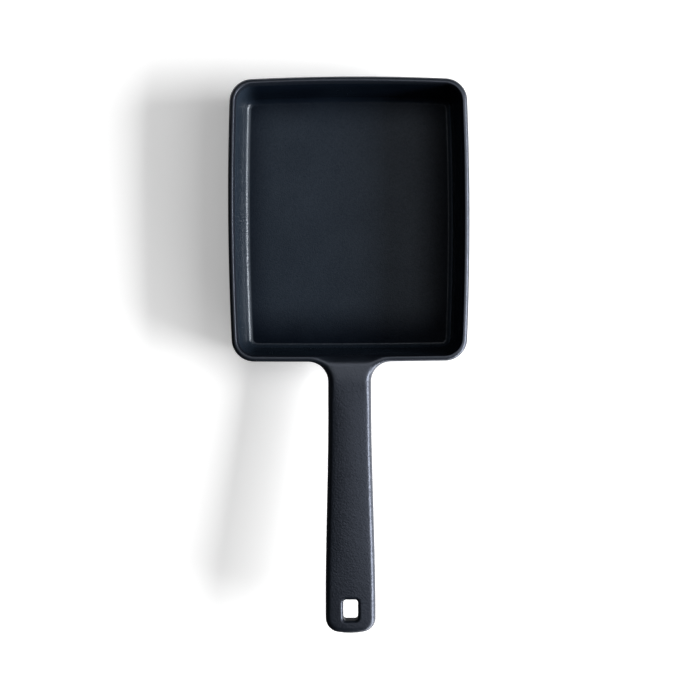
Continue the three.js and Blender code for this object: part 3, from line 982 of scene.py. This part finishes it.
def coat_material(name, finish, coat, rubbed_tone):
    """A satin coat over a grained surface, from the settings whose names begin with the coat's.

    Ground surfaces, marked on the mesh, are smoother, and paler by painted sheen.
    """

    def setting(what):
        return getattr(finish, f"{coat}_{what}")

    material = bpy.data.materials.new(name)
    material.use_nodes = True
    tree = material.node_tree
    grain_group, drift = coat_groups()
    grain = setting("grain")
    roughness = setting("roughness")
    shader = tree.nodes["Principled BSDF"]
    shader.inputs["Specular IOR Level"].default_value = setting("gloss")
    shader.inputs["Specular Tint"].default_value = opaque(setting("sheen"))
    place = add_node(tree, "ShaderNodeTexCoord").outputs["Object"]
    cloud = use_group(tree, drift, Place=place, Patch=CLOUD_PATCH)
    speckle = use_group(tree, drift, Place=place, Patch=grain * SPECKLE_GRAINS)
    fine = use_group(tree, grain_group, Place=place, Size=grain)
    broad = use_group(tree, grain_group, Place=place, Size=SWELL_SIZE)
    rubbed = add_node(tree, "ShaderNodeAttribute", attribute_name="rubbed").outputs["Fac"]
    cloudy = calculate(tree, "MULTIPLY", cloud, 1 - SPECKLE_SHARE)
    tone = calculate(tree, "MULTIPLY_ADD", speckle, SPECKLE_SHARE, cloudy)
    body = blend_colours(tree, tone, opaque(getattr(finish, coat)), opaque(setting("pale")))
    # Painted sheen: the marked points take the paler tone
    feed(tree, shader.inputs["Base Color"], blend_colours(tree, rubbed, body, opaque(rubbed_tone)))
    satin = remap(tree, tone, roughness + ROUGHNESS_SPREAD, roughness - ROUGHNESS_SPREAD)
    feed(tree, shader.inputs["Roughness"], calculate(tree, "MULTIPLY_ADD", rubbed, -RUBBED_SHINE, satin))
    swell = add_node(tree, "ShaderNodeBump", {"Height": broad, "Distance": setting("swell")})
    pebble_inputs = {
        "Height": fine,
        "Normal": swell.outputs["Normal"],
        "Strength": remap(tree, rubbed, 1.0, RUBBED_RELIEF),
        "Distance": setting("relief"),
    }
    feed(tree, shader.inputs["Normal"], add_node(tree, "ShaderNodeBump", pebble_inputs).outputs["Normal"])
    return material


def distance_past(tree, value, middle, reach):
    """How far a coordinate lies outside a stretch, squared."""
    offset = calculate(tree, "ABSOLUTE", calculate(tree, "SUBTRACT", value, middle))
    past = calculate(tree, "MAXIMUM", calculate(tree, "SUBTRACT", offset, reach), 0.0)
    return calculate(tree, "MULTIPLY", past, past)


def season_floor(material, floor_top, finish):
    """Paints shade, dark and dull, on the floor along the walls, and dulls the floor's scoured middle.

    At the far end the painted shade also covers the wall.
    """
    tree = material.node_tree
    shader = tree.nodes["Principled BSDF"]
    clean = shader.inputs["Base Color"].links[0].from_socket
    place = add_node(tree, "ShaderNodeTexCoord").outputs["Object"]
    where = axes(tree, place)
    past = []
    for axis, middle, size in zip("XY", finish.clear_middle, finish.clear_size):
        past.append(distance_past(tree, where[axis], middle, size / 2))
    reach = calculate(tree, "SQRT", calculate(tree, "ADD", *past))
    uneven = use_group(tree, coat_groups()[1], Place=place, Patch=finish.film_fade)
    factor = remap(tree, uneven, 1 - SHADE_UNEVENNESS, 1 + SHADE_UNEVENNESS)
    uneven_reach = calculate(tree, "MULTIPLY", reach, factor)
    floor_low, floor_high = FLOOR_LEVEL
    on_floor = smooth_step(tree, where["Z"], floor_top + floor_low, floor_top + floor_high, 1.0, 0.0)
    far_end = smooth_step(tree, where["Y"], finish.film_climb, finish.film_climb + SHADE_CLIMB_FADE)
    off_left_wall = smooth_step(tree, where["X"], *SHADE_LEFT_END)
    shaded = calculate(tree, "MAXIMUM", on_floor, calculate(tree, "MULTIPLY", far_end, off_left_wall))
    # Painted shade: the colour darkens towards the walls, away from the lit middle of the floor
    film = calculate(tree, "MULTIPLY", shaded, smooth_step(tree, uneven_reach, 0.0, finish.film_fade))
    feed(tree, shader.inputs["Base Color"], blend_colours(tree, film, clean, opaque(finish.film)))
    scoured = remap(tree, on_floor, finish.enamel_gloss, finish.floor_gloss)
    dull = calculate(tree, "MULTIPLY", shaded, smooth_step(tree, reach, 0.0, finish.film_fade))
    gloss = calculate(tree, "MULTIPLY", scoured, remap(tree, dull, 1.0, SHADE_GLOSS))
    feed(tree, shader.inputs["Specular IOR Level"], gloss)


def paper_material(studio):
    """White paper. Where the camera sees it, some white is added, so that only the shadow shows on it.

    On the pan's right and beyond it, the pan mirrors the paper as white too. Far away it is plain white.
    As in a studio with a dark screen on the left, the paper there returns little light to the pan.
    """
    material = bpy.data.materials.new("paper")
    material.use_nodes = True
    tree = material.node_tree
    shader = tree.nodes["Principled BSDF"]
    shader.inputs["Roughness"].default_value = 1.0
    shader.inputs["Specular IOR Level"].default_value = 0.0
    shader.inputs["Emission Color"].default_value = (1.0, 1.0, 1.0, 1.0)
    ray = add_node(tree, "ShaderNodeLightPath").outputs
    place = add_node(tree, "ShaderNodeTexCoord").outputs["Object"]
    where = axes(tree, place)
    on_right = smooth_step(tree, where["X"], *PAPER_RIGHT)
    beyond = smooth_step(tree, where["Y"], *PAPER_BEYOND)
    unscreened = calculate(tree, "MAXIMUM", on_right, beyond)
    mirrored_white = calculate(tree, "MULTIPLY", ray["Is Glossy Ray"], unscreened)
    seen = calculate(tree, "MAXIMUM", ray["Is Camera Ray"], mirrored_white)
    bounce = remap(tree, on_right, studio.bounce_left, studio.bounce_right)
    feed(tree, shader.inputs["Base Color"], blend_colours(tree, seen, bounce, opaque(studio.floor)))
    around = add_node(tree, "ShaderNodeVectorMath", {"Vector": place}, operation="LENGTH").outputs["Value"]
    glow = smooth_step(tree, around, *PAPER_FAR, studio.floor_glow, 1.0)
    mirrored_glow = calculate(tree, "MULTIPLY", mirrored_white, studio.mirrored_glow)
    all_glow = calculate(tree, "MULTIPLY_ADD", ray["Is Camera Ray"], glow, mirrored_glow)
    feed(tree, shader.inputs["Emission Strength"], all_glow)
    return material


# Geometry nodes of the lining

LINING_INPUTS = (
    ("Rim Height", "NodeSocketFloat"),
    ("Floor Height", "NodeSocketFloat"),
    ("Draft", "NodeSocketFloat"),
    ("Well Fillet", "NodeSocketFloat"),
    ("Lip Drop", "NodeSocketFloat"),
    ("Coat", "NodeSocketFloat"),
    ("Arc Steps", "NodeSocketInt"),
    ("Finish", "NodeSocketMaterial"),
)


def pass_through(tree, kind, geometry, inputs=None, **settings):
    """Sends geometry into a node's first input, and gives what comes out of its first output."""
    return add_node(tree, kind, {0: geometry, **(inputs or {})}, **settings).outputs[0]


def by_index(tree, kind, values):
    """Gives each point of the section its own value."""
    node = add_node(tree, "GeometryNodeIndexSwitch", data_type=kind)
    while len(node.index_switch_items) < len(values):
        node.index_switch_items.new()
    feed(tree, node.inputs["Index"], add_node(tree, "GeometryNodeInputIndex").outputs["Index"])
    for k, value in enumerate(values):
        feed(tree, node.inputs[str(k)], value)
    return node.outputs["Output"]


def lining_section(tree, given):
    """Cross-section of the lining: floor, fillet, wall and lip, then back down behind the coat.

    It is drawn with X inwards and Y up, then turned over, because a sweep lays X outwards and Y down.
    """
    rim, floor, draft, fillet, drop, coat = (given[name] for name, _ in LINING_INPUTS[:6])
    slope = calculate(tree, "TANGENT", draft)
    setback = calculate(tree, "DIVIDE", coat, calculate(tree, "COSINE", draft))
    lip = calculate(tree, "SUBTRACT", rim, drop)
    bed = calculate(tree, "SUBTRACT", floor, coat)
    outer_fillet = calculate(tree, "ADD", fillet, coat)
    lip_round = calculate(tree, "MULTIPLY", coat, LIP_ROUND)

    def wall(z):
        return calculate(tree, "MULTIPLY", calculate(tree, "SUBTRACT", rim, z), slope)

    middle = calculate(tree, "ADD", wall(floor), calculate(tree, "MULTIPLY", fillet, FLOOR_REACH))
    corners = (
        (middle, floor, 0.0),
        (wall(floor), floor, fillet),
        (wall(lip), lip, lip_round),
        (calculate(tree, "SUBTRACT", wall(lip), setback), lip, lip_round),
        (calculate(tree, "SUBTRACT", wall(bed), setback), bed, outer_fillet),
        (middle, bed, 0.0),
    )
    places = []
    for x, y, _ in corners:
        places.append(add_node(tree, "ShaderNodeCombineXYZ", {"X": x, "Y": y}).outputs["Vector"])
    line = add_node(tree, "GeometryNodeMeshLine", {"Count": len(corners)}).outputs["Mesh"]
    bent = pass_through(tree, "GeometryNodeSetPosition", line, {"Position": by_index(tree, "VECTOR", places)})
    curve = pass_through(tree, "GeometryNodeMeshToCurve", bent)
    radii = by_index(tree, "FLOAT", [radius for _, _, radius in corners])
    rounding = {"Count": given["Arc Steps"], "Radius": radii}
    rounded = pass_through(tree, "GeometryNodeFilletCurve", curve, rounding, mode="POLY")
    return pass_through(tree, "GeometryNodeTransform", rounded, {"Rotation": (0.0, 0.0, math.pi)})


def draw_shut(tree, mesh):
    """Draws the open edges of both floors to the middle axis, each at its own height."""
    faces_beside = add_node(tree, "GeometryNodeInputMeshEdgeNeighbors").outputs["Face Count"]
    border = add_node(tree, "FunctionNodeCompare", data_type="INT", operation="EQUAL")
    feed(tree, border.inputs[2], faces_beside)
    feed(tree, border.inputs[3], 1)
    drawn_inputs = {"Mesh": mesh, "Selection": border.outputs["Result"], "Offset Scale": 0.0}
    drawn = add_node(tree, "GeometryNodeExtrudeMesh", drawn_inputs, mode="EDGES")
    place = add_node(tree, "GeometryNodeInputPosition").outputs["Position"]
    middle = add_node(tree, "ShaderNodeCombineXYZ", {"Z": axes(tree, place)["Z"]}).outputs["Vector"]
    target = {"Selection": drawn.outputs["Top"], "Position": middle}
    return pass_through(tree, "GeometryNodeSetPosition", drawn.outputs["Mesh"], target)


def lining_tree():
    """Sweeps the lining's section round the well's outline, then draws both open floors shut."""
    tree = bpy.data.node_groups.new("Enamel Lining", "GeometryNodeTree")
    tree.interface.new_socket("Outline", in_out="INPUT", socket_type="NodeSocketGeometry")
    for name, kind in LINING_INPUTS:
        tree.interface.new_socket(name, in_out="INPUT", socket_type=kind)
    tree.interface.new_socket("Lining", in_out="OUTPUT", socket_type="NodeSocketGeometry")
    given = add_node(tree, "NodeGroupInput").outputs
    result = add_node(tree, "NodeGroupOutput")
    path = pass_through(tree, "GeometryNodeMeshToCurve", given["Outline"])
    level_path = pass_through(tree, "GeometryNodeSetCurveNormal", path, mode="Z_UP")
    section = lining_section(tree, given)
    sweep = pass_through(tree, "GeometryNodeCurveToMesh", level_path, {"Profile Curve": section})
    shut = draw_shut(tree, sweep)
    welded = pass_through(tree, "GeometryNodeMergeByDistance", shut, {"Distance": WELD})
    coated = pass_through(tree, "GeometryNodeSetMaterial", welded, {"Material": given["Finish"]})
    feed(tree, result.inputs["Lining"], coated)
    return tree


def lining_mesh(form, finish):
    """The lining as a plain mesh, from the node tree."""
    outline = form.plan(form.tray.rim, form.tray.well_corner)
    places = [point.inset(0, 0) for point in outline]
    links = [(k, (k + 1) % len(places)) for k in range(len(places))]
    path = bpy.data.meshes.new("well outline")
    path.from_pydata(places, links, [])
    carrier = bpy.data.objects.new("well outline", path)
    bpy.context.scene.collection.objects.link(carrier)
    tree = lining_tree()
    values = {
        "Rim Height": form.tray.height,
        "Floor Height": form.well_floor,
        "Draft": form.tray.draft,
        "Well Fillet": form.enamel.fillet,
        "Lip Drop": form.enamel.lip_drop,
        "Coat": form.enamel.coat,
        "Arc Steps": SECTION_STEPS,
        "Finish": finish,
    }
    modifier = carrier.modifiers.new("lining", "NODES")
    modifier.node_group = tree
    for item in tree.interface.items_tree:
        if item.in_out == "INPUT" and item.name in values:
            modifier[item.identifier] = values[item.name]
    graph = bpy.context.evaluated_depsgraph_get()
    mesh = bpy.data.meshes.new_from_object(carrier.evaluated_get(graph))
    bpy.data.objects.remove(carrier)
    bpy.data.meshes.remove(path)
    cells = bmesh.new()
    cells.from_mesh(mesh)
    bmesh.ops.recalc_face_normals(cells, faces=cells.faces)
    cells.to_mesh(mesh)
    cells.free()
    return mesh


# Pieces


def mark_rubbed(mesh, amount_at):
    """Stores on each point, from 0 to 1, how much painted sheen and smoother finish it gets."""
    amounts = [amount_at(point.co, point.normal) for point in mesh.vertices]
    mesh.attributes.new("rubbed", "FLOAT", "POINT").data.foreach_set("value", amounts)


def ground_amount(form, finish):
    """The rim's flat top and the neck, finished by grinding, get painted sheen where they face up. It fades
    out on the rim's rounds and along the handle.
    """

    def amount_at(place, normal):
        near_rim = 1 - smooth(abs(place.z - form.tray.height), *GROUND_AND_SHEEN_DEPTH)
        facing = smooth(normal.z, *SHEEN_FACING)
        on_handle = smooth(form.from_rim(place.y), GROUND_AND_SHEEN_FADE, finish.ground_reach)
        return near_rim * facing * (1 - on_handle)

    return amount_at


def place_piece(name, mesh, finish, node):
    mesh.shade_smooth()
    mesh.set_sharp_from_angle(angle=CREASE)
    mesh.materials.clear()
    mesh.materials.append(finish)
    piece = bpy.data.objects.new(name, mesh)
    bpy.context.scene.collection.objects.link(piece)
    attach(piece, BODY)
    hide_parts(node)


class OMELETTE_PAN_OT_cast_casting(bpy.types.Operator):
    """Casts tray and handle in one piece"""

    bl_idname = "omelette_pan.cast_casting"
    bl_label = "Cast the Pan"

    def execute(self, context):
        settings = context.scene.omelette_pan
        finish = settings.finish
        iron = coat_material("iron skin", finish, "iron", finish.ground)
        form = PanForm(settings)
        mesh = casting_skin(form).to_mesh("casting")
        mark_rubbed(mesh, ground_amount(form, finish))
        place_piece("casting", mesh, iron, "pan_casting")
        return {"FINISHED"}


class OMELETTE_PAN_OT_fire_enamel(bpy.types.Operator):
    """Lines the well with enamel"""

    bl_idname = "omelette_pan.fire_enamel"
    bl_label = "Fire the Enamel"

    def execute(self, context):
        settings = context.scene.omelette_pan
        finish = settings.finish
        enamel = coat_material("enamel", finish, "enamel", finish.enamel_pale)
        form = PanForm(settings)
        season_floor(enamel, form.well_floor, finish)
        place_piece("enamel_lining", lining_mesh(form, enamel), enamel, "interior_enamel")
        return {"FINISHED"}


# Studio


def add_lamp(studio, name, target):
    """An area lamp that faces the pan, from the settings whose names begin with its own."""

    def setting(what):
        return getattr(studio, f"{name}_{what}")

    lamp = bpy.data.lights.new(name, "AREA")
    lamp.shape = "RECTANGLE"
    lamp.size, lamp.size_y = setting("size")
    lamp.energy = setting("power")
    place = target + from_right(*setting("way"), studio.lamp_distance)
    holder = bpy.data.objects.new(name, lamp)
    holder.location = place
    holder.rotation_euler = (target - place).to_track_quat("-Z", "Y").to_euler()
    bpy.context.scene.collection.objects.link(holder)


def from_right(turn, rise, distance):
    level_reach = math.cos(rise) * distance
    return Vector((level_reach * math.cos(turn), -level_reach * math.sin(turn), math.sin(rise) * distance))


def light_room(strength):
    """Even light from the room, which the camera sees as plain white."""
    world = bpy.data.worlds.new("room")
    world.use_nodes = True
    tree = world.node_tree
    background = tree.nodes["Background"]
    background.inputs["Color"].default_value = (1.0, 1.0, 1.0, 1.0)
    camera_ray = add_node(tree, "ShaderNodeLightPath").outputs["Is Camera Ray"]
    feed(tree, background.inputs["Strength"], remap(tree, camera_ray, strength, 1.0))
    bpy.context.scene.world = world


def lay_paper(studio):
    half = studio.floor_side / 2
    mesh = bpy.data.meshes.new("paper")
    corners = [(-half, -half, 0), (half, -half, 0), (half, half, 0), (-half, half, 0)]
    mesh.from_pydata(corners, [], [(0, 1, 2, 3)])
    mesh.materials.append(paper_material(studio))
    paper = bpy.data.objects.new("paper", mesh)
    bpy.context.scene.collection.objects.link(paper)


def set_camera(studio):
    """Camera that looks straight down, as in the photograph."""
    camera = bpy.data.cameras.new("camera")
    camera.sensor_width = SENSOR
    camera.lens = studio.lens
    holder = bpy.data.objects.new("camera", camera)
    holder.location = studio.camera
    holder.rotation_euler = (0, 0, studio.camera_roll)
    bpy.context.scene.collection.objects.link(holder)
    bpy.context.scene.camera = holder


class OMELETTE_PAN_OT_set_studio(bpy.types.Operator):
    """Sets paper, lamps and camera as in the photograph"""

    bl_idname = "omelette_pan.set_studio"
    bl_label = "Set the Studio"

    def execute(self, context):
        studio = context.scene.omelette_pan.studio
        middle = Vector((0, studio.camera[1], 0))
        for name in LAMPS:
            add_lamp(studio, name, middle)
        light_room(studio.room)
        lay_paper(studio)
        set_camera(studio)
        context.scene.view_settings.view_transform = "Standard"
        return {"FINISHED"}


class OMELETTE_PAN_PT_sidebar(bpy.types.Panel):
    """Sizes, finishes and steps of the omelette pan"""

    bl_label = "Omelette Pan"
    bl_space_type = "VIEW_3D"
    bl_region_type = "UI"
    bl_category = "Omelette Pan"

    def draw(self, context):
        settings = context.scene.omelette_pan
        for group_name in PanSettings.__annotations__:
            group = getattr(settings, group_name)
            box = self.layout.box()
            box.label(text=group_name.capitalize())
            for name in type(group).__annotations__:
                box.prop(group, name)
        for operator in OPERATORS:
            self.layout.operator(operator.bl_idname)


OPERATORS = (OMELETTE_PAN_OT_cast_casting, OMELETTE_PAN_OT_fire_enamel, OMELETTE_PAN_OT_set_studio)
GROUPS = (
    TraySizes,
    HandleSizes,
    HangHoleSizes,
    HollowSizes,
    EnamelSizes,
    FinishSettings,
    StudioSettings,
    PanSettings,
)


def register():
    for kind in (*GROUPS, *OPERATORS, OMELETTE_PAN_PT_sidebar):
        bpy.utils.register_class(kind)
    bpy.types.Scene.omelette_pan = bpy.props.PointerProperty(type=PanSettings)


def unregister():
    del bpy.types.Scene.omelette_pan
    for kind in reversed((*GROUPS, *OPERATORS, OMELETTE_PAN_PT_sidebar)):
        bpy.utils.unregister_class(kind)


def main():
    register()
    bpy.ops.omelette_pan.cast_casting()
    bpy.ops.omelette_pan.fire_enamel()
    bpy.ops.omelette_pan.set_studio()


if __name__ == "__main__":
    main()
